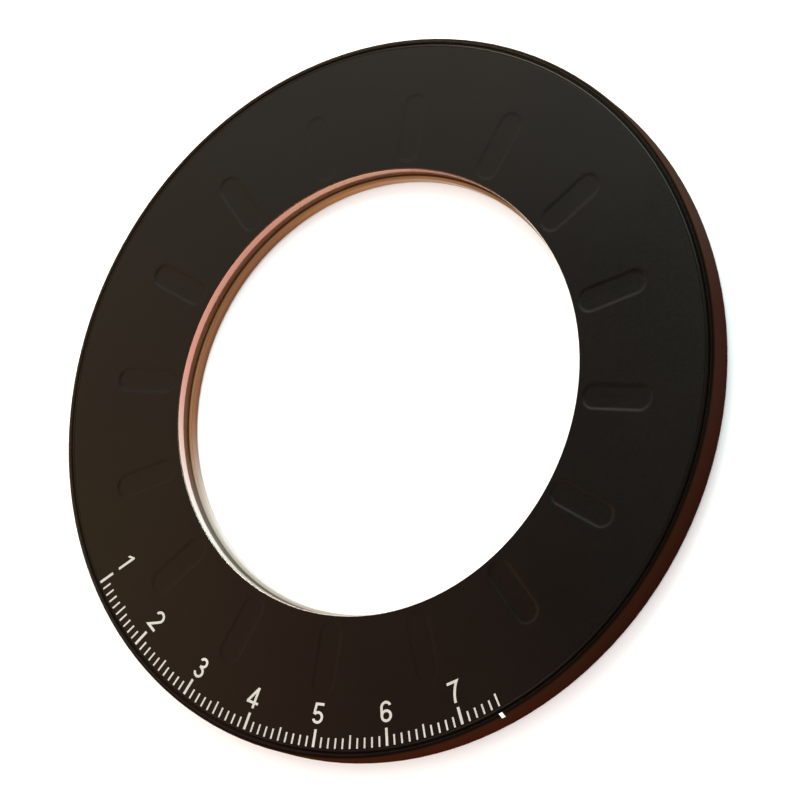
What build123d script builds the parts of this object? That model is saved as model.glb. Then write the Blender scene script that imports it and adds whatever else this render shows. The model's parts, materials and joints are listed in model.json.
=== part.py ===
from build123d import *
import os
from math import asin, cos, degrees, radians, sin

# Adjustable iris circle-drawing template, lying flat on its underside.
# Origin: centre of the aperture in the plane of the underside. +Z points up,
# out of the printed face. All lengths in mm, all angles in degrees.

os.makedirs("parts", exist_ok=True)

# ---------------------------------------------------------------- dimensions
# heights
floor_z = 2.0                  # top of the housing floor, under the blades
blade_space = 1.4              # free height between the floor and the dial
dial_z = floor_z + blade_space
face_z = 5.3                   # printed face, the overall height
film_thickness = 0.15          # printed overlay on the dial
plate_top_z = face_z - film_thickness
ink_thickness = 0.04

# housing
housing_radius = 61.6
bore_radius = 37.5             # clear bore: the largest circle
cavity_radius = 57.6           # outside of the space the blades swing in
recess_radius = 60.8           # bore the dial flange turns in
mouth_radius = 60.9            # bore round the dial's border
ledge_z = dial_z - 0.02        # ledge under the dial, with a running gap
bore_chamfer = 0.25
foot_chamfer = 0.3
edge_chamfer = 0.1             # small chamfers of the housing floor and dial
rim_inner_radius = 61.05       # where the bevelled rim starts
rim_outer_z = face_z - 0.55    # where the bevel meets the outer wall
rim_lead_in = 0.05             # small chamfer on the inside of the rim

# dial
dial_bore_radius = 38.2
dial_radius = 60.6             # visible edge
dial_edge_round = 0.45         # rounding of that edge
border_inner_radius = 60.0     # raised border round the overlay
border_underside_z = 4.82
border_foot_inset = 0.03       # the border's edge draws in this much at its foot
dial_waist_radius = 60.1       # groove that carries the retaining ring
flange_radius = 60.72          # flange under the retaining ring
flange_thickness = 0.8

# printed overlay
film_inner_radius = 38.34
film_outer_radius = 59.95
dip_depth = 0.08               # the overlay sags this far into each slot

# split retaining ring
ring_gap = 0.02
ring_thickness = 0.5
ring_inner_radius = 60.4
ring_outer_radius = 61.05
ring_groove_radius = ring_outer_radius + ring_gap
ring_z = dial_z + flange_thickness + 2 * ring_gap
ring_top_z = ring_z + ring_thickness
ring_split = 7.0               # opening, degrees
ring_split_angle = 113.0
ring_split_length = 4.0        # radial length of the cutter for the opening

# printed scale, in centimetres of circle diameter
scale_first = 1.0
scale_last = 2 * bore_radius / 10
dial_travel = 86.0             # full turn of the dial, open to closed
degrees_per_cm = dial_travel / (scale_last - scale_first)
index_angle = -66.95           # where the last tick stands, open
scale_start_angle = index_angle + 360 - dial_travel

# blades and their studs
blade_count = 16
pitch = 360.0 / blade_count
pivot_radius = 43.5            # pivot circle of the blades
blade_row_radii = (38.3, 40.9, 44.6, 49.6)
blade_start = -3.25            # first station, measured from the pivot
station_step = 3.25            # angle between stations
blade_thickness = 0.06
blade_z = floor_z + 0.08       # lowest point of a blade, clear of the floor
pivot_stud_radius = 1.0
pivot_hole_radius = 1.05
hole_depth = 1.4               # blind holes of the pivot studs and stop pin
hole_z = floor_z - hole_depth
pin_foot_z = hole_z + 0.1      # studs and pin stop short of the hole bottom
drive_stud_radius = 0.85
drive_stud_top = 4.9
drive_angle = 137.0            # drive stud, measured round from the pivot

# dial slots
first_slot_angle = 12.7
slot_inner_centre = 41.4       # radii of the centres of a slot's round ends
slot_outer_centre = 49.4
slot_length = slot_outer_centre - slot_inner_centre
slot_width = 3.8
dip_width = slot_width - 0.1           # underside of the overlay's sag
dip_hollow_width = slot_width - 0.4    # its hollow in the printed face

# stop pin on the housing and its groove in the dial
stop_radius = 55.9
stop_angle = 200.0
stop_pin_radius = 0.7
stop_hole_radius = stop_pin_radius - 0.01      # press fit
stop_pin_top = 4.2
stop_groove_width = 1.8
stop_groove_depth = 1.0
stop_overrun = 0.25            # degrees of groove beyond each end of the travel

# Swing of a blade between the open and the smallest aperture.
smallest_radius = scale_first * 10 / 2
half_swing = degrees(asin((blade_row_radii[0] - smallest_radius) / (2 * pivot_radius)))
# The drive stud sits at the same radius at both ends of the travel, and its
# direction from the centre turns exactly as far as the dial does.
drive_radius = pivot_radius * sin(radians(half_swing)) / sin(radians(dial_travel / 2 - half_swing))


# ------------------------------------------------------------------- helpers
def polar(radius, angle):
    return (radius * cos(radians(angle)), radius * sin(radians(angle)))


def radial_place(radius, angle):
    """Place at a radius and angle, with its x axis pointing outward."""
    return Location((*polar(radius, angle), 0), (0, 0, 1), angle)


def save(builder, name):
    builder.part.label = name
    export_step(builder.part, f"parts/{name}.step")


def save_pin(name, centre, radius, foot_z, top_z):
    """Build and write an upright cylinder."""
    with BuildPart() as pin:
        with BuildSketch(Plane.XY.offset(foot_z)):
            with Locations(centre):
                Circle(radius)
        extrude(amount=top_z - foot_z)
    save(pin, name)


slot_angles = [first_slot_angle + pitch * k for k in range(blade_count)]
pivot_angles = [first_slot_angle - drive_angle + pitch * k for k in range(blade_count)]
slot_middle = (slot_inner_centre + slot_outer_centre) / 2
slot_places = [radial_place(slot_middle, angle) for angle in slot_angles]
stop_centre = polar(stop_radius, stop_angle)

# ---------------------------------------------------------------- base ring
# Housing: a flat annular plate with a raised outer wall. The wall carries the
# ledge the dial turns on and the groove of the retaining ring.
with BuildPart() as base_ring:
    with BuildSketch(Plane.XZ):
        with BuildLine():
            Polyline(
                (bore_radius, bore_chamfer),
                (bore_radius + bore_chamfer, 0),
                (housing_radius - foot_chamfer, 0),
                (housing_radius, foot_chamfer),
                (housing_radius, rim_outer_z),
                (rim_inner_radius, face_z),
                (mouth_radius + rim_lead_in, face_z),
                (mouth_radius, face_z - rim_lead_in),
                (mouth_radius, ring_top_z + ring_gap),
                (ring_groove_radius, ring_top_z + ring_gap),
                (ring_groove_radius, ring_z - ring_gap),
                (recess_radius, ring_z - ring_gap),
                (recess_radius, ledge_z),
                (cavity_radius, ledge_z),
                (cavity_radius, floor_z),
                (bore_radius + edge_chamfer, floor_z),
                (bore_radius, floor_z - edge_chamfer),
                close=True,
            )
        make_face()
    revolve(axis=Axis.Z)
    # blind holes for the pivot studs
    with BuildSketch(Plane.XY.offset(hole_z)):
        with Locations(*[polar(pivot_radius, angle) for angle in pivot_angles]):
            Circle(pivot_hole_radius)
    extrude(amount=hole_depth, mode=Mode.SUBTRACT)
    # hole the stop pin is pressed into
    with BuildSketch(Plane.XY.offset(hole_z)):
        with Locations(stop_centre):
            Circle(stop_hole_radius)
    extrude(amount=hole_depth, mode=Mode.SUBTRACT)
save(base_ring, "base_ring")

# --------------------------------------------------------------- dial plate
# Turning plate with one radial slot for each blade. Its flange runs on the
# ledge of the housing, under the retaining ring. A raised border with a
# rounded edge frames the overlay and reaches over the ring.
round_centre_radius = dial_radius - dial_edge_round
round_centre_z = face_z - dial_edge_round
round_middle = dial_edge_round * sin(radians(45))

with BuildPart() as dial_plate:
    with BuildSketch(Plane.XZ):
        with BuildLine():
            Polyline(
                (round_centre_radius, face_z),
                (border_inner_radius, face_z),
                (border_inner_radius, plate_top_z),
                (dial_bore_radius + edge_chamfer, plate_top_z),
                (dial_bore_radius, plate_top_z - edge_chamfer),
                (dial_bore_radius, dial_z + edge_chamfer),
                (dial_bore_radius + edge_chamfer, dial_z),
                (flange_radius - edge_chamfer, dial_z),
                (flange_radius, dial_z + edge_chamfer),
                (flange_radius, dial_z + flange_thickness),
                (dial_waist_radius, dial_z + flange_thickness),
                (dial_waist_radius, border_underside_z),
                (dial_radius - border_foot_inset, border_underside_z),
                (dial_radius, round_centre_z),
            )
            ThreePointArc(
                (dial_radius, round_centre_z),
                (round_centre_radius + round_middle, round_centre_z + round_middle),
                (round_centre_radius, face_z),
            )
        make_face()
    revolve(axis=Axis.Z)
    with BuildSketch(Plane.XY.offset(dial_z)):
        with Locations(*slot_places):
            SlotCenterToCenter(slot_length, slot_width)
    extrude(amount=plate_top_z - dial_z, mode=Mode.SUBTRACT)
    # arc groove on the underside: the stop pin runs in it and ends the travel
    with BuildSketch(Plane.XY.offset(dial_z)):
        with BuildLine() as stop_path:
            CenterArc(
                (0, 0),
                stop_radius,
                stop_angle - dial_travel - stop_overrun,
                dial_travel + 2 * stop_overrun,
            )
        SlotArc(stop_path.wires()[0], stop_groove_width)
    extrude(amount=stop_groove_depth, mode=Mode.SUBTRACT)
save(dial_plate, "dial_plate")

# ---------------------------------------------------------------- face film
# Thin overlay bonded to the dial. It dips slightly where a slot leaves it
# unsupported.
with BuildPart() as face_film:
    with BuildSketch(Plane.XY.offset(plate_top_z)):
        Circle(film_outer_radius)
        Circle(film_inner_radius, mode=Mode.SUBTRACT)
    extrude(amount=film_thickness)
    with BuildSketch(Plane.XY.offset(plate_top_z - dip_depth)):
        with Locations(*slot_places):
            SlotCenterToCenter(slot_length, dip_width)
    extrude(amount=dip_depth)
    with BuildSketch(Plane.XY.offset(face_z - dip_depth)):
        with Locations(*slot_places):
            SlotCenterToCenter(slot_length, dip_hollow_width)
    extrude(amount=dip_depth, mode=Mode.SUBTRACT)
save(face_film, "face_film")

# -------------------------------------------------------------- scale marks
# Printed scale: one tick each millimetre of diameter, with longer ticks at
# the halves and whole centimetres, and the numerals 1 to 7.
tick_outer_radius = 59.9
tick_count = round((scale_last - scale_first) * 10) + 1
# tick numbers, inner radius, width
tick_kinds = (
    ([n for n in range(tick_count) if n % 5 != 0], 58.2, 0.30),     # millimetres
    ([n for n in range(tick_count) if n % 10 == 5], 57.7, 0.30),    # half centimetres
    ([n for n in range(tick_count) if n % 10 == 0], 57.0, 0.46),    # whole centimetres
)

digit_radius = 54.43           # middle of the numerals
digit_height = 3.55
digit_stroke = 0.44
half_stroke = digit_stroke / 2 / digit_height      # in numeral heights
# how far each numeral is printed off its place: outward, and along the scale
numeral_shift = {
    1: (-0.57, -0.22),
    2: (-0.15, 0.02),
    3: (0.16, 0.22),
    4: (0.0, -0.27),
    5: (0.0, 0.03),
    6: (0.0, 0.11),
    7: (0.0, 0.15),
}


def numeral_plane(value):
    """Plane of a numeral on the face: x along the scale, y toward the centre."""
    outward, along = numeral_shift[value]
    angle = scale_start_angle + (value - scale_first) * degrees_per_cm
    angle += degrees(along / digit_radius)
    return Plane(
        origin=(*polar(digit_radius + outward, angle), face_z),
        x_dir=(-sin(radians(angle)), cos(radians(angle)), 0),
        z_dir=(0, 0, 1),
    )


def at(x, y):
    """A point of a numeral, in numeral heights, y counted from its foot."""
    return (x * digit_height, (y - 0.5) * digit_height)


with BuildPart() as scale_marks:
    with BuildSketch(Plane.XY.offset(face_z)):
        for numbers, inner_radius, width in tick_kinds:
            middle = (tick_outer_radius + inner_radius) / 2
            angles = [scale_start_angle + n * degrees_per_cm / 10 for n in numbers]
            with Locations(*[radial_place(middle, angle) for angle in angles]):
                Rectangle(tick_outer_radius - inner_radius, width)
    extrude(amount=ink_thickness)
    with BuildSketch(numeral_plane(1)):
        with Locations(at(0.06, 0.5)):
            Rectangle(digit_stroke, digit_height)
        with BuildLine():
            Polyline(
                at(0.06 + half_stroke, 1.0),
                at(0.06 - 0.3 * half_stroke, 1.0),
                at(-0.19, 0.82),
                at(-0.19, 0.82 - 1.9 * half_stroke),
                at(0.06 - 0.5 * half_stroke, 0.86),
                close=True,
            )
        make_face()
    extrude(amount=ink_thickness)
    with BuildSketch(numeral_plane(2)):
        with BuildLine():
            two_top = CenterArc(at(0, 0.70), (0.30 - half_stroke) * digit_height, 172, -212)
            two_leg = ThreePointArc(two_top @ 1, at(-0.05, 0.28), at(-0.245, half_stroke))
            Line(two_leg @ 1, at(0.29, half_stroke))
        trace(line_width=digit_stroke)
    extrude(amount=ink_thickness)
    with BuildSketch(numeral_plane(3)):
        with BuildLine():
            CenterArc(at(0, 0.75), (0.25 - half_stroke) * digit_height, 165, -255)
            CenterArc(at(0, 0.28), (0.28 - half_stroke) * digit_height, 90, -255)
        trace(line_width=digit_stroke)
        with Locations(at(-0.02, 0.53)):
            Rectangle(0.16 * digit_height, digit_stroke)
    extrude(amount=ink_thickness)
    with BuildSketch(numeral_plane(4)):
        with BuildLine():
            Line(at(0.085, 0.93), at(-0.26, 0.29))
        trace(line_width=digit_stroke)
        with Locations(at(0.11, 0.5)):
            Rectangle(digit_stroke, digit_height)
        with Locations(at(0.0, 0.26)):
            Rectangle(0.66 * digit_height, digit_stroke)
    extrude(amount=ink_thickness)
    with BuildSketch(numeral_plane(5)):
        with BuildLine():
            Polyline(at(0.25, 1.0 - half_stroke), at(-0.16, 1.0 - half_stroke), at(-0.21, 0.47))
        trace(line_width=digit_stroke)
        with BuildLine():
            CenterArc(at(-0.01, 0.325), (0.325 - half_stroke) * digit_height * 0.87, 145, -305)
        trace(line_width=digit_stroke)
    extrude(amount=ink_thickness)
    with BuildSketch(numeral_plane(6)):
        with Locations(at(0, 0.32)):
            Circle(0.29 * digit_height)
            Circle(0.29 * digit_height - digit_stroke, mode=Mode.SUBTRACT)
        with BuildLine():
            six_top = CenterArc(at(0, 0.71), (0.29 - half_stroke) * digit_height, 20, 160)
            Line(six_top @ 1, at(-0.29 + half_stroke, 0.32))
        trace(line_width=digit_stroke)
    extrude(amount=ink_thickness)
    with BuildSketch(numeral_plane(7)):
        with BuildLine():
            seven_bar = Line(at(-0.28, 1.0 - half_stroke), at(0.23, 1.0 - half_stroke))
            ThreePointArc(seven_bar @ 1, at(0.01, 0.52), at(-0.09, 0.0))
        trace(line_width=digit_stroke)
    extrude(amount=ink_thickness)
save(scale_marks, "scale_marks")

# --------------------------------------------------------------- index mark
# Fixed index painted across the bevel of the rim and just over its edge.
index_offset = -0.25           # from the angle of the last tick
index_half_width = 0.32
index_half_angle = degrees(index_half_width / housing_radius)
index_inner_radius = 60.97
index_foot_z = rim_outer_z - 0.17      # how far it runs down the outer wall
with BuildPart() as index_blank:
    with BuildSketch(Plane.XZ):
        with BuildLine():
            Polyline(
                (index_inner_radius, face_z),
                (rim_inner_radius, face_z),
                (housing_radius, rim_outer_z),
                (housing_radius, index_foot_z),
                (housing_radius + ink_thickness, index_foot_z),
                (housing_radius + ink_thickness, rim_outer_z + ink_thickness / 2),
                (rim_inner_radius + ink_thickness / 2, face_z + ink_thickness),
                (index_inner_radius, face_z + ink_thickness),
                close=True,
            )
        make_face()
    revolve(axis=Axis.Z, revolution_arc=2 * index_half_angle)
placed_index = index_blank.part.rotate(Axis.Z, index_angle + index_offset - index_half_angle)
with BuildPart() as index_mark:
    add(placed_index)
save(index_mark, "index_mark")

# ----------------------------------------------------------- retaining ring
# Split ring carried round the waist of the dial and sprung into the groove of
# the housing wall, over the dial flange.
ring_split_width = 2 * ring_outer_radius * sin(radians(ring_split / 2))
with BuildPart() as retaining_ring:
    with BuildSketch(Plane.XY.offset(ring_z)):
        Circle(ring_outer_radius)
        Circle(ring_inner_radius, mode=Mode.SUBTRACT)
        with Locations(radial_place((ring_inner_radius + ring_outer_radius) / 2, ring_split_angle)):
            Rectangle(ring_split_length, ring_split_width, mode=Mode.SUBTRACT)
    extrude(amount=ring_thickness)
save(retaining_ring, "retaining_ring")

# ----------------------------------------------------------------- stop pin
save_pin("stop_pin", stop_centre, stop_pin_radius, pin_foot_z, stop_pin_top)

# ------------------------------------------------------------------- blades
# Every blade is the same thin crescent. Each lies over the next one all the
# way round, so it is formed to rise from its pivot end to its drive end.
# The table gives that rise: one line for each station along the blade, one
# column for each of blade_row_radii.
blade_rise = (
    (0.000, 0.000, 0.000, 0.000),
    (0.000, 0.000, 0.000, 0.019),
    (0.000, 0.000, 0.000, 0.038),
    (0.000, 0.000, 0.027, 0.057),
    (0.000, 0.027, 0.054, 0.081),
    (0.029, 0.054, 0.080, 0.104),
    (0.057, 0.081, 0.105, 0.127),
    (0.100, 0.109, 0.128, 0.151),
    (0.100, 0.123, 0.148, 0.174),
    (0.100, 0.136, 0.167, 0.197),
    (0.116, 0.153, 0.187, 0.221),
    (0.132, 0.170, 0.207, 0.244),
    (0.147, 0.187, 0.227, 0.267),
    (0.163, 0.205, 0.248, 0.291),
    (0.200, 0.222, 0.268, 0.318),
    (0.200, 0.242, 0.294, 0.345),
    (0.213, 0.270, 0.321, 0.373),
    (0.234, 0.296, 0.341, 0.400),
    (0.256, 0.330, 0.381, 0.433),
    (0.312, 0.378, 0.422, 0.465),
    (0.376, 0.436, 0.473, 0.501),
    (0.484, 0.511, 0.529, 0.544),
    (0.593, 0.588, 0.583, 0.586),
    (0.702, 0.665, 0.651, 0.632),
    (0.779, 0.744, 0.691, 0.670),
    (0.848, 0.780, 0.750, 0.715),
    (0.877, 0.838, 0.782, 0.743),
    (0.905, 0.864, 0.826, 0.779),
    (0.948, 0.888, 0.846, 0.803),
    (0.960, 0.920, 0.872, 0.824),
    (0.971, 0.935, 0.898, 0.845),
    (0.984, 0.950, 0.911, 0.866),
    (1.006, 0.966, 0.927, 0.887),
    (1.028, 0.987, 0.947, 0.909),
    (1.045, 1.004, 0.967, 0.930),
    (1.055, 1.020, 0.987, 0.955),
    (1.064, 1.034, 1.008, 0.981),
    (1.074, 1.047, 1.028, 1.008),
    (1.093, 1.055, 1.049, 1.035),
    (1.112, 1.086, 1.074, 1.062),
    (1.131, 1.111, 1.099, 1.089),
    (1.146, 1.132, 1.124, 1.116),
    (1.160, 1.150, 1.147, 1.143),
    (1.174, 1.166, 1.170, 1.170),
    (1.174, 1.174, 1.170, 1.170),
)


def blade_points(lift):
    """Grid of points of the blade's underside, raised by lift."""
    return [
        [
            Vector(*polar(radius, blade_start + i * station_step), blade_z + rise + lift)
            for radius, rise in zip(blade_row_radii, station)
        ]
        for i, station in enumerate(blade_rise)
    ]


def facet(*corners):
    return Face(Wire.make_polygon(corners, close=True))


def formed_blade():
    """Closed sheet of planar facets between the lower and the upper grid."""
    low = blade_points(0)
    high = blade_points(blade_thickness)
    last_i = len(blade_rise) - 1
    last_j = len(blade_row_radii) - 1
    faces = []
    for i in range(last_i):
        for j in range(last_j):
            for grid in (low, high):
                start, opposite = grid[i][j], grid[i + 1][j + 1]
                faces.append(facet(start, grid[i][j + 1], opposite))
                faces.append(facet(start, opposite, grid[i + 1][j]))
        # inner and outer edges
        for j in (0, last_j):
            faces.append(facet(low[i][j], low[i + 1][j], high[i + 1][j], high[i][j]))
    # pivot end and drive end
    for i in (0, last_i):
        for j in range(last_j):
            faces.append(facet(low[i][j], low[i][j + 1], high[i][j + 1], high[i][j]))
    sheet = Solid(Shell(faces))
    # a shell that comes out inside out has its faces turned round
    return sheet if sheet.volume > 0 else Solid(Shell([-face for face in faces]))


blade_blank = formed_blade()
pivot_pad_z = blade_z + blade_rise[1][1]
drive_pad_z = blade_z + blade_rise[-2][2] + blade_thickness

for k, (pivot_angle, slot_angle) in enumerate(zip(pivot_angles, slot_angles)):
    number = f"{k + 1:02d}"
    placed_blade = blade_blank.rotate(Axis.Z, pivot_angle)
    with BuildPart() as blade:
        add(placed_blade)
    save(blade, f"blade_{number}")

    # stud under the pivot end, running in its hole in the housing floor
    pivot_centre = polar(pivot_radius, pivot_angle)
    save_pin(f"pivot_stud_{number}", pivot_centre, pivot_stud_radius, pin_foot_z, pivot_pad_z)

    # stud on top of the other end, driven by a slot of the dial
    drive_centre = polar(drive_radius, slot_angle)
    save_pin(f"drive_stud_{number}", drive_centre, drive_stud_radius, drive_pad_z, drive_stud_top)
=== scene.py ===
# Iris diaphragm with 16 sheet blades, a base ring and a turning dial under a printed overlay.
# It lies flat about the Z axis: the base ring stands on z = 0 and the dial's face looks to +Z.
# Bearings are angles about Z, measured from +X towards +Y. Lengths are in metres.
import json
import math

import bpy
import numpy as np
from mathutils import Matrix, Vector


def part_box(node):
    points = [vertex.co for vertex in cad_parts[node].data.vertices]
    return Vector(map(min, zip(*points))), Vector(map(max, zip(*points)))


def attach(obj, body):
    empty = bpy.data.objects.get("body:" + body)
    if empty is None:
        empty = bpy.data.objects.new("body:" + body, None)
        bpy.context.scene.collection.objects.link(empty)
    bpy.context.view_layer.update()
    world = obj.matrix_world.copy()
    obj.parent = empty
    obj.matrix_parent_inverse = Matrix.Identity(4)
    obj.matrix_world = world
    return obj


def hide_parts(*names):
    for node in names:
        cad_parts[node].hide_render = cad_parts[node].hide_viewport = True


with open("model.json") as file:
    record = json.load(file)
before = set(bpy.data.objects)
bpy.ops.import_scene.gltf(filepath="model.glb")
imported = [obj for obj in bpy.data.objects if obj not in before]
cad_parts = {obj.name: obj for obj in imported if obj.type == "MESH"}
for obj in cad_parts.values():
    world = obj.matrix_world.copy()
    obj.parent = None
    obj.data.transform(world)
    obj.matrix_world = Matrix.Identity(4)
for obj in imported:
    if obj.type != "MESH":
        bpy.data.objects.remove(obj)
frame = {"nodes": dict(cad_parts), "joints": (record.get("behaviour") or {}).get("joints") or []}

MM = 0.001
BLADES = 16
nodes = frame["nodes"]
joints = {joint["name"]: joint for joint in frame["joints"]}
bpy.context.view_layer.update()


# ------------------------------------------------------------------ sizes read from the frame
def node_points(name):
    """The vertices of a CAD node, one row each."""
    mesh = nodes[name].data
    points = np.zeros(len(mesh.vertices) * 3, np.float32)
    mesh.vertices.foreach_get("co", points)
    return points.reshape(-1, 3).astype(float)


def axis_distance(points):
    return np.hypot(*points[:, :2].T)


def stud_bearing(number):
    """Bearing of a drive stud, which stands in the middle line of its dial slot."""
    low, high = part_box("drive_stud_%02d" % number)
    middle = (low + high) / 2
    return math.atan2(middle.y, middle.x)


def pivot_bearing(number):
    place = joints["blade_%02d_swing" % number]["pos_m"]
    return math.atan2(place[1], place[0])


FACE_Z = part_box("face_film")[1].z
film_points = node_points("face_film")
film_radius = axis_distance(film_points)
FILM_IN, FILM_OUT = film_radius.min(), film_radius.max()
PLATE_Z = film_points[film_radius > FILM_OUT - 0.00001, 2].min()
DIAL_BORE = axis_distance(node_points("dial_plate")).min()
RING_OUT = axis_distance(node_points("base_ring")).max()
pivot_bearings = [pivot_bearing(k + 1) for k in range(BLADES)]
slot_bearings = [stud_bearing(k + 1) for k in range(BLADES)]

# ------------------------------------------------------------------ node helpers
NOISE_BAND = (0.3, 0.7)  # the range where most of a noise's values lie
INPUTS = {"color": "Base Color", "metal": "Metallic", "rough": "Roughness",
          "spec": "Specular IOR Level", "aniso": "Anisotropic", "normal": "Normal"}


class Net:
    """A small builder for a material's nodes."""

    def __init__(self, name):
        self.material = bpy.data.materials.new(name)
        self.material.use_nodes = True
        self.tree = self.material.node_tree
        self.tree.nodes.clear()
        output = self.add_node("OutputMaterial")
        self.bsdf = self.add_node("BsdfPrincipled")
        self.tree.links.new(self.bsdf.outputs[0], output.inputs["Surface"])
        self.place = self.add_node("TexCoord").outputs["Object"]

    def add_node(self, kind):
        return self.tree.nodes.new("ShaderNode" + kind)

    def put(self, socket, value):
        """Link a socket to another one, or set it to a number or colour."""
        if hasattr(value, "is_output"):
            self.tree.links.new(value, socket)
        elif isinstance(value, tuple) and socket.type == "RGBA":
            socket.default_value = (*value, 1.0)
        else:
            socket.default_value = value

    def calc(self, operation, *values):
        node = self.add_node("Math")
        node.operation = operation
        for socket, value in zip(node.inputs, values):
            self.put(socket, value)
        return node.outputs[0]

    def add(self, first, second):
        return self.calc("ADD", first, second)

    def times(self, first, second):
        return self.calc("MULTIPLY", first, second)

    def split(self):
        """x, y and z of the shaded point."""
        node = self.add_node("SeparateXYZ")
        self.put(node.inputs[0], self.place)
        return node.outputs[0], node.outputs[1], node.outputs[2]

    def join(self, *values):
        node = self.add_node("CombineXYZ")
        for socket, value in zip(node.inputs, values):
            self.put(socket, value)
        return node.outputs[0]

    def polar(self, x, y):
        """Distance from the axis, and bearing about it."""
        node = self.add_node("VectorMath")
        node.operation = "LENGTH"
        self.put(node.inputs[0], self.join(x, y, 0.0))
        return node.outputs["Value"], self.calc("ARCTAN2", y, x)

    def facing(self, bearing, degrees):
        """1 at the given bearing, -1 opposite it."""
        return self.calc("COSINE", self.calc("SUBTRACT", bearing, math.radians(degrees)))

    def noise(self, scale=1.0, detail=3.0, rough=0.5, vector=None):
        node = self.add_node("TexNoise")
        self.put(node.inputs["Vector"], self.place if vector is None else vector)
        node.inputs["Scale"].default_value = scale
        node.inputs["Detail"].default_value = detail
        node.inputs["Roughness"].default_value = rough
        return node.outputs[0]

    def turned_noise(self, across, along, detail=2.0, rough=0.5):
        """Turning lines: noise at one scale along the axis and a lower one square to it."""
        x, y, z = self.split()
        vector = self.join(self.times(x, along), self.times(y, along), self.times(z, across))
        return self.noise(vector=vector, detail=detail, rough=rough)

    def ramp(self, value, span=NOISE_BAND, to=(0.0, 1.0)):
        """A smooth step from to[0] to to[1] as the value crosses the span."""
        node = self.add_node("MapRange")
        node.interpolation_type = "SMOOTHSTEP"
        names = ("Value", "From Min", "From Max", "To Min", "To Max")
        for name, setting in zip(names, (value, *span, *to)):
            self.put(node.inputs[name], setting)
        return node.outputs[0]

    def fade(self, value, span):
        return self.ramp(value, span, to=(1.0, 0.0))

    def mix(self, amount, base, over):
        """The base colour at amount 0, the other at 1."""
        node = self.add_node("Mix")
        node.data_type = "RGBA"
        # inputs 6 and 7 and output 2 are the colour sockets
        self.put(node.inputs[0], amount)
        self.put(node.inputs[6], base)
        self.put(node.inputs[7], over)
        return node.outputs[2]

    def bump(self, height, distance, strength, normal=None):
        node = self.add_node("Bump")
        node.inputs["Strength"].default_value = strength
        node.inputs["Distance"].default_value = distance
        self.put(node.inputs["Height"], height)
        if normal is not None:
            self.put(node.inputs["Normal"], normal)
        return node.outputs[0]

    def edge(self, radius):
        """A normal that rounds the edges."""
        node = self.add_node("Bevel")
        node.samples = 6
        node.inputs["Radius"].default_value = radius
        return node.outputs[0]

    def set(self, **settings):
        for name, value in settings.items():
            self.put(self.bsdf.inputs[INPUTS[name]], value)
        return self.material


def bearings(start, end):
    """A span of bearings, given in degrees."""
    return math.radians(start), math.radians(end)


# ------------------------------------------------------------------ materials
WARM_REFLECTION_BEARING = 118.0  # degrees; the painted warm reflection centres on it


def film_material():
    net = Net("overlay_film")
    cloud = net.noise(scale=24.0, detail=4.0, rough=0.55)
    fine = net.noise(scale=2600.0, detail=2.0, rough=0.6)
    grain = net.noise(scale=9000.0, detail=1.0)
    dark = net.mix(net.ramp(cloud, span=(0.35, 0.68)),
                   base=(0.0008, 0.0005, 0.0003), over=(0.0014, 0.0010, 0.0007))
    color = net.mix(net.ramp(fine, span=(0.3, 0.75), to=(0.0, 0.35)),
                    base=dark, over=(0.0022, 0.0018, 0.0015))
    rough = net.add(net.ramp(cloud, to=(0.38, 0.42)), net.ramp(fine, to=(-0.03, 0.03)))
    fine_share, grain_share = 0.7, 0.3
    height = net.add(net.times(fine, fine_share), net.times(grain, grain_share))
    return net.set(color=color, rough=rough, spec=0.25,
                   normal=net.bump(height, distance=0.00001, strength=0.25))


def black_anodised(net, bearing, z, brown):
    """Colour, roughness and height of the satin black; brown (0 to 1) turns it to a warm brown
    that is a painted reflection, with painted shade, a painted glow and a painted highlight round
    the ring.
    """
    cloud = net.noise(scale=40.0)
    fine = net.noise(scale=3000.0, detail=2.0)
    turned = net.turned_noise(across=9000.0, along=30.0, rough=0.6)
    black = net.mix(net.ramp(cloud),
                    base=(0.0030, 0.0021, 0.0012), over=(0.0048, 0.0034, 0.0022))
    # masks: the foot of the wall, and three zones round it that take painted shade, a painted
    # glow and a painted highlight
    foot = net.fade(z, span=(0.0004, 0.0040))
    front = net.ramp(bearing, bearings(-150, -110))
    shade = net.times(net.fade(bearing, bearings(-32, 4)), front)
    painted_glow_zone = net.times(net.fade(bearing, bearings(-76, -48)), front)
    pale = net.times(net.ramp(bearing, bearings(2, 24)), net.fade(bearing, bearings(60, 95)))
    pale_share = 0.6

    # painted light: the warm brown is a painted reflection, paler and less saturated up by the
    # bevel than at the foot, as a faint painted highlight
    warm = net.mix(foot, base=(0.0300, 0.0115, 0.0085), over=(0.0310, 0.0098, 0.0060))
    shaded = net.mix(foot, base=(0.0225, 0.0072, 0.0038), over=(0.0215, 0.0056, 0.0026))
    warm = net.mix(shade, warm, shaded)
    glowing = net.mix(foot, base=(0.0330, 0.0088, 0.0038), over=(0.0430, 0.0068, 0.0020))
    warm = net.mix(painted_glow_zone, warm, glowing)
    # painted highlight over the pale zone
    warm = net.mix(net.times(pale, pale_share), warm, over=(0.0560, 0.0320, 0.0230))
    warm = net.mix(net.ramp(cloud, to=(0.0, 0.20)), warm, over=(0.0240, 0.0076, 0.0036))
    rough = net.add(net.ramp(turned, to=(0.30, 0.38)), net.ramp(fine, to=(-0.02, 0.02)))
    return net.mix(brown, black, warm), rough, turned


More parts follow.
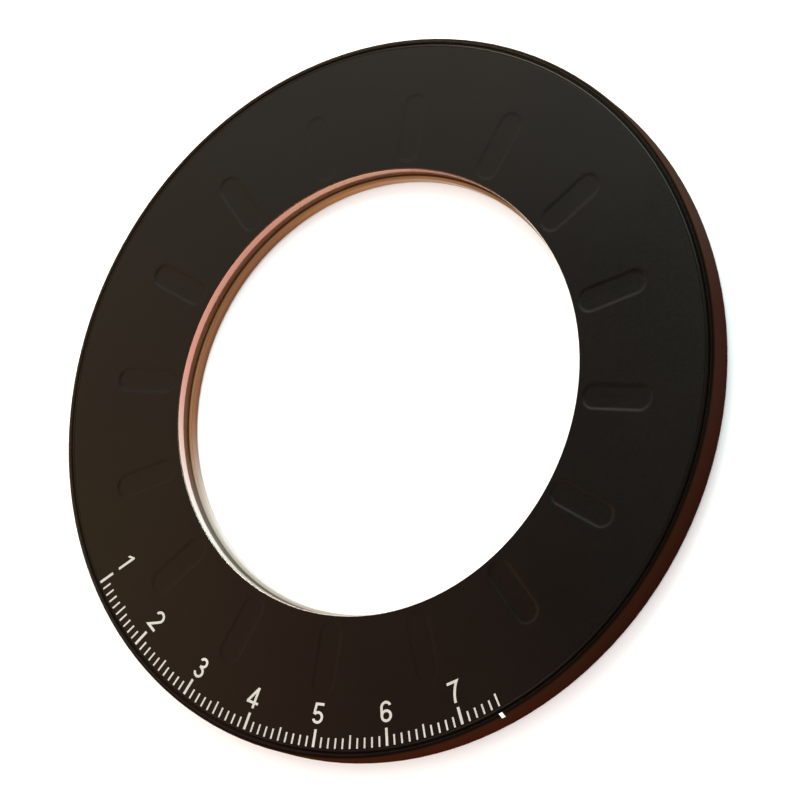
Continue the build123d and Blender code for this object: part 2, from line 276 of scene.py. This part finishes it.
def bare_metal(net, bearing, light, copper_reflection, gold_reflection, reach):
    """Colour, roughness and height of the turned bore wall, with a painted warm reflection on one
    side and a painted yellower, brighter reflection near bearing 82 degrees.

    The painted warm reflection is full where the cosine of the angle from its middle is above
    reach.
    """
    turned = net.turned_noise(across=16000.0, along=14.0, detail=3.0, rough=0.65)
    wide = net.turned_noise(across=1800.0, along=40.0)
    warm = net.ramp(net.facing(bearing, WARM_REFLECTION_BEARING), span=(-0.15, reach))
    golden_sheen_side = net.ramp(net.facing(bearing, degrees=82.0), span=(0.70, 1.0))
    color = net.mix(warm, light, net.mix(golden_sheen_side, copper_reflection, gold_reflection))
    line_color = net.mix(warm, base=(0.50, 0.48, 0.46), over=(0.22, 0.10, 0.06))
    color = net.mix(net.ramp(turned, span=(0.35, 0.7), to=(0.0, 0.22)), color, line_color)
    return color, net.ramp(wide, to=(0.18, 0.28)), turned


def black_and_bare(net, bare_mask, black, bare, spec, edge_radius):
    """Finish the material: black, with bare metal where the mask is 1."""
    black_color, black_rough, black_height = black
    bare_color, bare_rough, bare_height = bare
    rough = net.add(net.times(black_rough, net.calc("SUBTRACT", 1.0, bare_mask)),
                    net.times(bare_rough, bare_mask))
    share = 0.5  # of each finish in the relief
    height = net.add(net.times(black_height, share), net.times(bare_height, share))
    normal = net.bump(height, distance=0.000012, strength=0.5, normal=net.edge(edge_radius))
    return net.set(color=net.mix(bare_mask, black_color, bare_color), rough=rough,
                   metal=bare_mask, spec=spec, normal=normal)


def dial_material():
    net = Net("dial_metal")
    x, y, z = net.split()
    radius, bearing = net.polar(x, y)
    bore = net.fade(radius, span=(DIAL_BORE + 0.00011, DIAL_BORE + 0.00016))
    # a little of the painted warm brown reflection on the black, and the painted warm and
    # yellower reflections on the bore
    black = black_anodised(net, bearing, z, brown=0.05)
    bare = bare_metal(net, bearing, light=(0.80, 0.775, 0.75), copper_reflection=(0.52, 0.235, 0.180),
                      gold_reflection=(0.58, 0.30, 0.19), reach=0.75)
    return black_and_bare(net, bore, black, bare, spec=0.18, edge_radius=0.00006)


def housing_material():
    net = Net("housing_metal")
    x, y, z = net.split()
    radius, bearing = net.polar(x, y)
    bore = net.times(net.fade(radius, span=(DIAL_BORE + 0.0006, DIAL_BORE + 0.0009)),
                     net.ramp(z, span=(0.00018, 0.00022)))
    # the finish turns from black to dark reddish brown over the bevel and stays so down the wall:
    # a painted warm reflection
    brown = net.ramp(radius, span=(RING_OUT - 0.00040, RING_OUT + 0.00002))
    flat = net.fade(radius, span=(RING_OUT - 0.00060, RING_OUT - 0.00045))
    color, rough, turned = black_anodised(net, bearing, z, brown)
    # painted light and shade: the bore wall below the ledge is paler near the floor and darker
    # towards the top
    low = net.fade(z, span=(0.0003, 0.0016))
    bare = bare_metal(
        net, bearing,
        light=net.mix(low, base=(0.55, 0.50, 0.455), over=(0.82, 0.77, 0.73)),
        copper_reflection=net.mix(low, base=(0.255, 0.100, 0.045), over=(0.195, 0.062, 0.014)),
        gold_reflection=(0.42, 0.17, 0.035), reach=0.55)
    # the top of the floor by the bore is dull and tan
    ledge = net.times(bore, net.ramp(z, span=(0.00192, 0.00196)))
    bore = net.calc("SUBTRACT", bore, ledge)
    flat_spec = 0.11
    spec = net.times(flat, flat_spec)

    # the mouth round the dial is painted paler, a painted reflection that is brighter on the far
    # side
    mouth = net.times(net.ramp(radius, span=(0.0605, 0.0606)),
                      net.fade(radius, span=(0.060905, 0.06092)))
    mouth = net.times(mouth, net.ramp(z, span=(0.0047, 0.0048)))
    far = net.ramp(net.facing(bearing, degrees=125.0), span=(-0.3, 0.6))
    painted_mouth_light = net.mix(far, base=(0.020, 0.013, 0.008), over=(0.055, 0.034, 0.017))
    color = net.mix(mouth, color, painted_mouth_light)

    # the ledge is tan on its lip and darker outside it, a painted shadow under the blades; one
    # side takes the painted warm reflection
    lip = net.fade(radius, span=(0.03790, 0.03808))
    warm_reflection_side = net.ramp(net.facing(bearing, WARM_REFLECTION_BEARING), span=(-0.05, 0.45))
    tan = net.mix(net.ramp(turned), base=(0.21, 0.112, 0.052), over=(0.30, 0.170, 0.082))
    tan = net.mix(warm_reflection_side, base=(0.42, 0.39, 0.35), over=tan)
    shadow = net.mix(warm_reflection_side, base=(0.13, 0.115, 0.095), over=(0.055, 0.019, 0.005))
    color = net.mix(ledge, color, net.mix(lip, shadow, tan))
    return black_and_bare(net, bore, (color, rough, turned), bare, spec, edge_radius=0.00012)


def ring_material():
    net = Net("blackened_spring_steel")
    x, y, z = net.split()
    bearing = net.polar(x, y)[1]
    color, rough, turned = black_anodised(net, bearing, z, brown=0.0)
    return net.set(color=net.mix(amount=0.5, base=color, over=(0.004, 0.0036, 0.003)),
                   rough=rough, metal=0.2, spec=0.3,
                   normal=net.bump(turned, distance=0.00001, strength=0.5))


def blade_material():
    net = Net("blade_sheet_steel")
    x, y, _ = net.split()
    radius, bearing = net.polar(x, y)

    def sheet_noise(across, along, detail, rough):
        """Lines that run round the axis."""
        vector = net.join(net.times(radius, across), net.times(x, along), net.times(y, along))
        return net.noise(vector=vector, detail=detail, rough=rough)

    lines = sheet_noise(across=26000.0, along=60.0, detail=3.0, rough=0.6)
    broad = sheet_noise(across=1500.0, along=40.0, detail=2.0, rough=0.5)
    cloud = net.noise(scale=55.0, detail=4.0, rough=0.6)
    color = net.mix(net.ramp(lines), base=(0.26, 0.25, 0.238), over=(0.35, 0.34, 0.325))
    color = net.mix(net.ramp(cloud, span=(0.45, 0.75), to=(0.0, 0.3)),
                    color, over=(0.22, 0.205, 0.19))
    # the inner edges take a painted warm reflection, on the same side as the bore's painted warm
    # reflection
    warm_reflection_side = net.ramp(net.facing(bearing, WARM_REFLECTION_BEARING), span=(-0.15, 0.45))
    strip = net.fade(radius, span=(0.03838, 0.03848))
    color = net.mix(net.times(strip, warm_reflection_side), color, over=(0.34, 0.125, 0.052))
    rough = net.add(net.ramp(broad, to=(0.44, 0.52)), net.ramp(cloud, to=(-0.03, 0.05)))
    return net.set(color=color, rough=rough, metal=0.6, spec=0.3, aniso=0.3,
                   normal=net.bump(lines, distance=0.000008, strength=0.25))


def stud_material():
    net = Net("turned_stud_steel")
    fine = net.turned_noise(across=14000.0, along=200.0)
    color = net.mix(net.ramp(fine), base=(0.40, 0.39, 0.38), over=(0.58, 0.57, 0.56))
    return net.set(color=color, rough=net.ramp(fine, to=(0.2, 0.34)), metal=1.0,
                   normal=net.bump(fine, distance=0.000008, strength=0.5))


def ink_material(name, bright):
    net = Net(name)
    fine = net.noise(scale=5200.0, detail=2.0, rough=0.6)
    wide = net.noise(scale=260.0, detail=2.0)
    fine_share, wide_share = 0.6, 0.4
    mottle = net.add(net.times(fine, fine_share), net.times(wide, wide_share))
    color = net.mix(net.ramp(mottle, span=(0.35, 0.65)),
                    base=tuple(part * bright for part in (0.55, 0.53, 0.485)),
                    over=tuple(part * bright for part in (0.70, 0.685, 0.645)))
    return net.set(color=color, rough=net.ramp(fine, to=(0.5, 0.66)), spec=0.25,
                   normal=net.bump(fine, distance=0.00001, strength=0.4))


film_finish = film_material()
dial_finish = dial_material()
housing_finish = housing_material()
ring_finish = ring_material()
blade_finish = blade_material()
stud_finish = stud_material()
FINISHES = {
    "base_ring": housing_finish,
    "dial_plate": dial_finish,
    "face_film": film_finish,
    "scale_marks": ink_material("scale_ink", bright=0.64),
    "index_mark": ink_material("index_paint", bright=1.35),
    "retaining_ring": ring_finish,
}

for name, node in nodes.items():
    other = blade_finish if name.startswith("blade_") else stud_finish
    node.data.materials.clear()
    node.data.materials.append(FINISHES.get(name, other))


def mesh_object(name, verts, faces, material, sharp_degrees=None):
    """A linked mesh object; smooth, with edges sharp above the angle, if one is given."""
    mesh = bpy.data.meshes.new(name)
    mesh.from_pydata(verts, [], faces)
    mesh.materials.append(material)
    if sharp_degrees is not None:
        mesh.polygons.foreach_set("use_smooth", [True] * len(mesh.polygons))
        mesh.update()
        mesh.set_sharp_from_angle(angle=math.radians(sharp_degrees))
    obj = bpy.data.objects.new(name, mesh)
    bpy.context.scene.collection.objects.link(obj)
    return obj


# ------------------------------------------------------------------ overlay film with soft dips
FILM_STEPS = 1440
# rows near each rim of the film: distance from the rim, and drop below the face
RIM_INSETS = [0.0, 0.012 * MM, 0.04 * MM, 0.06 * MM]
RIM_DROPS = [0.04 * MM, 0.012 * MM]
ROW_STEP = 0.2 * MM
FINE_OUT = 52.0 * MM  # the closely spaced rows end here
COARSE_IN, COARSE_INSET, COARSE_ROWS = 52.3 * MM, 0.3 * MM, 12

# each dip is a round-ended trough along a slot
DIP_DEPTH = 0.085 * MM
DIP_IN, DIP_OUT = 41.4 * MM, 49.4 * MM
DIP_REACH = 2.25 * MM
DIP_SLOPE = 0.55 * MM
DISH_REACH = 1.9 * MM
DISH_SHARE = 0.1  # of the depth, falling steadily towards the middle line
DIP_TURN = 0.003  # radians clockwise from the slot
# relative depth of each dip, in the order of the slots
DIP_WEIGHTS = (1.10, 0.80, 0.55, 0.45, 0.50, 1.05, 1.40, 1.30,
               0.90, 0.60, 0.50, 0.35, 0.35, 1.25, 1.55, 1.45)


def dip_depth(x, y):
    """How far the dips lower the overlay's top."""
    depth = np.zeros_like(x)
    for bearing, weight in zip(slot_bearings, DIP_WEIGHTS):
        bearing -= DIP_TURN
        outward = x * math.cos(bearing) + y * math.sin(bearing)
        sideways = -x * math.sin(bearing) + y * math.cos(bearing)
        away = np.hypot(outward - np.clip(outward, DIP_IN, DIP_OUT), sideways)
        rise = np.clip((DIP_REACH - away) / DIP_SLOPE, 0.0, 1.0)
        dish = 1 - DISH_SHARE + DISH_SHARE * np.clip(1 - away / DISH_REACH, 0, 1)
        dip = DIP_DEPTH * weight * rise * rise * (3 - 2 * rise) * dish
        depth = np.maximum(depth, dip)
    return depth


def build_film():
    radii = np.array(
        [FILM_IN + inset for inset in RIM_INSETS]
        + list(np.arange(FILM_IN + ROW_STEP, FINE_OUT, ROW_STEP))
        + list(np.linspace(COARSE_IN, FILM_OUT - COARSE_INSET, COARSE_ROWS))
        + [FILM_OUT - inset for inset in reversed(RIM_INSETS)])
    drop = np.zeros(len(radii))
    drop[:2] = RIM_DROPS
    drop[-2:] = RIM_DROPS[::-1]
    turn = np.linspace(0, 2 * math.pi, FILM_STEPS, endpoint=False)
    radius, angle = np.meshgrid(radii, turn, indexing="ij")
    x, y = radius * np.cos(angle), radius * np.sin(angle)
    z = FACE_Z - drop[:, None] - dip_depth(x, y)

    def foot(radius):
        """A ring of vertices at the film's underside."""
        return np.stack([radius * np.cos(turn), radius * np.sin(turn),
                         np.full(FILM_STEPS, PLATE_Z)], -1)

    top = np.stack([x.ravel(), y.ravel(), z.ravel()], -1)
    verts = np.concatenate([top, foot(FILM_IN), foot(FILM_OUT)])
    # bands run over the top, down the outer rim, under the film and up the inner rim
    rows = len(radii)
    loop = list(range(rows)) + [rows + 1, rows, 0]
    here = np.arange(FILM_STEPS)
    ahead = (here + 1) % FILM_STEPS
    faces = []
    for row, after in zip(loop[:-1], loop[1:]):
        start, end = row * FILM_STEPS, after * FILM_STEPS
        faces.append(np.stack([start + here, end + here, end + ahead, start + ahead], -1))
    film = mesh_object("overlay_skin", verts.tolist(), np.concatenate(faces).tolist(),
                       film_finish, sharp_degrees=60.0)
    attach(film, "dial")
    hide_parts("face_film")


build_film()

# ------------------------------------------------------------------ blades as smooth formed sheet
BLADE_COLUMNS = 13
STATION_SPLIT = 4  # new stations for each one of the CAD blade
BLADE_CORNER = 2.6 * MM
ROW_GAP = 20  # hundredths of a millimetre; radii further apart than this are separate rows
STATION_GAP = 0.5  # degrees; the same for stations


def blade_grid(number):
    """The CAD blade's lower surface as heights on (station, row).

    Rows are radii about Z and stations are bearings from the blade's pivot.
    Returns the row radii, the first and last bearing, the heights and the thickness.
    """
    points = node_points("blade_%02d" % (number + 1))
    pivot = pivot_bearings[number]
    cosine, sine = math.cos(-pivot), math.sin(-pivot)
    x = points[:, 0] * cosine - points[:, 1] * sine
    y = points[:, 0] * sine + points[:, 1] * cosine
    radius = np.hypot(x, y)
    bearing = np.degrees(np.arctan2(y, x))
    bearing = np.where(bearing < -90, bearing + 360, bearing)

    groups = []
    for value in sorted(set(np.round(radius * 1e5).astype(int))):
        if not groups or value - groups[-1][-1] > ROW_GAP:
            groups.append([value])
        else:
            groups[-1].append(value)
    rows = np.array([np.mean(group) for group in groups]) * 1e-5

    first, last = bearing.min(), bearing.max()
    gaps = np.diff(np.unique(np.round(bearing, 2)))
    count = 1 + int(np.sum(gaps > STATION_GAP))
    step = (last - first) / (count - 1)

    low = np.full((count, len(rows)), np.inf)
    high = np.full((count, len(rows)), -np.inf)
    cells = (np.round((bearing - first) / step).astype(int),
             np.argmin(np.abs(radius[:, None] - rows[None, :]), axis=1))
    np.minimum.at(low, cells, points[:, 2])
    np.maximum.at(high, cells, points[:, 2])
    known = np.isfinite(low)
    thickness = float(np.median((high - low)[known]))
    # a flat stretch has no vertices inside it, so its heights come from the rows beside it
    for i, j in np.argwhere(~known):
        low[i, j] = np.interp(rows[j], rows[known[i]], low[i][known[i]])
    return rows, math.radians(first), math.radians(last), low, thickness


def catmull_rom(values, stations):
    """Rows of values interpolated at positions given in station units."""
    count = len(values)
    i = np.clip(np.floor(stations).astype(int), 0, count - 2)
    f = (stations - i)[:, None]
    p1, p2 = values[i], values[i + 1]
    p0 = values[np.maximum(i - 1, 0)]
    p3 = values[np.minimum(i + 2, count - 1)]
    return 0.5 * (2 * p1 + (p2 - p0) * f + (2 * p0 - 5 * p1 + 4 * p2 - p3) * f * f
                  + (3 * p1 - p0 - 3 * p2 + p3) * f ** 3)


def build_blade(number):
    rows, first, last, low, thickness = blade_grid(number)
    spans = len(low) - 1
    count = STATION_SPLIT * spans + 1
    stations = np.linspace(0, spans, count)
    heights = catmull_rom(low, stations)
    bearing = first + (last - first) * stations / spans
    middle, half_width = (rows[0] + rows[-1]) / 2, (rows[-1] - rows[0]) / 2
    grid = np.zeros((count, BLADE_COLUMNS, 3))
    for i in range(count):
        # the ends are narrowed to round their corners
        from_end = min(bearing[i] - first, last - bearing[i]) * middle
        half = half_width
        if from_end < BLADE_CORNER:
            chord = math.sqrt(max(BLADE_CORNER ** 2 - (BLADE_CORNER - from_end) ** 2, 0.0))
            half = half_width - (BLADE_CORNER - chord)
        radius = middle + np.linspace(-1, 1, BLADE_COLUMNS) * half
        turn = bearing[i] + pivot_bearings[number]
        grid[i, :, 0] = radius * math.cos(turn)
        grid[i, :, 1] = radius * math.sin(turn)
        grid[i, :, 2] = np.interp(radius, rows, heights[i])
    under = grid.reshape(-1, 3)
    verts = np.concatenate([under, under + np.array([0, 0, thickness])])

    def at(i, j, layer):
        """Vertex at a station and column of the lower (0) or upper (1) surface."""
        return (layer * count + i) * BLADE_COLUMNS + j

    faces = []
    end, rim = count - 1, BLADE_COLUMNS - 1
    for i in range(end):
        for j in range(rim):
            faces.append((at(i, j, 1), at(i, j + 1, 1), at(i + 1, j + 1, 1), at(i + 1, j, 1)))
            faces.append((at(i, j, 0), at(i + 1, j, 0), at(i + 1, j + 1, 0), at(i, j + 1, 0)))
        faces.append((at(i, 0, 0), at(i, 0, 1), at(i + 1, 0, 1), at(i + 1, 0, 0)))
        faces.append((at(i, rim, 0), at(i + 1, rim, 0), at(i + 1, rim, 1), at(i, rim, 1)))
    for j in range(rim):
        faces.append((at(0, j, 0), at(0, j + 1, 0), at(0, j + 1, 1), at(0, j, 1)))
        faces.append((at(end, j, 0), at(end, j, 1), at(end, j + 1, 1), at(end, j + 1, 0)))
    name = "blade_%02d" % (number + 1)
    leaf = mesh_object("leaf_%02d" % (number + 1), verts.tolist(), faces, blade_finish,
                       sharp_degrees=40.0)
    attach(leaf, name)
    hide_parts(name)


for k in range(BLADES):
    build_blade(k)

# ------------------------------------------------------------------ floor
FLOOR_HALF = 3.0
FLOOR_Z = -0.00002


def build_floor():
    net = Net("pale_floor")
    cloud = net.noise(scale=6.0)
    fine = net.noise(scale=900.0, detail=2.0)
    color = net.mix(net.ramp(cloud), base=(0.895, 0.905, 0.91), over=(0.925, 0.935, 0.94))
    net.set(color=color, rough=net.ramp(fine, to=(0.75, 0.85)), spec=0.1,
            normal=net.bump(fine, distance=0.00002, strength=0.2))
    signs = ((-1, -1), (1, -1), (1, 1), (-1, 1))
    verts = [(x * FLOOR_HALF, y * FLOOR_HALF, FLOOR_Z) for x, y in signs]
    mesh_object("floor", verts, [(0, 1, 2, 3)], net.material)


build_floor()

# ------------------------------------------------------------------ light
SOFTBOX_Z = 0.22
# middle x and y, size along x and y, brightness of the front (red, green, blue)
SOFTBOXES = (
    (-0.05, 0.38, 0.20, 0.10, (16.2, 13.9, 12.3)),
    (-0.02, 0.28, 0.10, 0.10, (16.2, 14.2, 10.8)),
    (0.08, 0.26, 0.10, 0.26, (5.5, 8.2, 7.8)),
    (-0.22, 0.0, 0.10, 0.24, (2.1, 1.5, 0.8)),
    (-0.17, 0.18, 0.20, 0.10, (2.0, 1.75, 1.5)),
    (-0.40, 0.18, 0.14, 0.14, (3.0, 2.0, 1.1)),
    (-0.02, -0.14, 0.10, 0.10, (4.0, 2.6, 2.0)),
    (-0.15, 0.0, 0.08, 0.12, (1.0, 0.08, 0.12)),
)


def build_world():
    """An even white tent; shiny surfaces mirror a dim warm one instead."""
    world = bpy.data.worlds.new("studio")
    bpy.context.scene.world = world
    world.use_nodes = True
    tree = world.node_tree
    tree.nodes.clear()
    output = tree.nodes.new("ShaderNodeOutputWorld")

    def background(color, strength):
        node = tree.nodes.new("ShaderNodeBackground")
        node.inputs["Color"].default_value = (*color, 1.0)
        node.inputs["Strength"].default_value = strength
        return node.outputs[0]

    tent = background(color=(1.0, 1.0, 1.0), strength=1.25)
    mirrored = background(color=(1.0, 0.86, 0.66), strength=0.045)
    path = tree.nodes.new("ShaderNodeLightPath")
    pick = tree.nodes.new("ShaderNodeMixShader")
    for source, socket in zip((path.outputs["Is Glossy Ray"], tent, mirrored), pick.inputs):
        tree.links.new(source, socket)
    tree.links.new(pick.outputs[0], output.inputs[0])


def softbox(name, x, y, width, depth, radiance):
    """A softbox facing straight down."""
    light = bpy.data.lights.new(name, "AREA")
    light.shape = "RECTANGLE"
    light.size, light.size_y = width, depth
    peak = max(radiance)
    light.energy = math.pi * peak * width * depth
    light.color = tuple(part / peak for part in radiance)
    obj = bpy.data.objects.new(name, light)
    obj.location = (x, y, SOFTBOX_Z)
    bpy.context.scene.collection.objects.link(obj)


build_world()
for k, settings in enumerate(SOFTBOXES):
    softbox("softbox_%d" % (k + 1), *settings)

# ------------------------------------------------------------------ camera
CAMERA_PLACE = Vector((0.21352, -0.12673, FACE_Z + 0.37366))
# the camera's own x, y and z axes; it looks along its -z
CAMERA_AXES = (
    Vector((0.87390, 0.0, -0.48610)),
    Vector((0.13528, 0.96050, 0.24320)),
    Vector((0.46690, -0.27829, 0.83938)),
)


def build_camera():
    data = bpy.data.cameras.new("camera")
    data.sensor_width = 36.0
    data.lens = 121.72
    data.clip_start = 0.01
    camera = bpy.data.objects.new("camera", data)
    bpy.context.scene.collection.objects.link(camera)
    turn = Matrix(CAMERA_AXES).transposed().to_4x4()
    camera.matrix_world = Matrix.Translation(CAMERA_PLACE) @ turn
    bpy.context.scene.camera = camera


build_camera()
bpy.context.scene.view_settings.view_transform = "Standard"
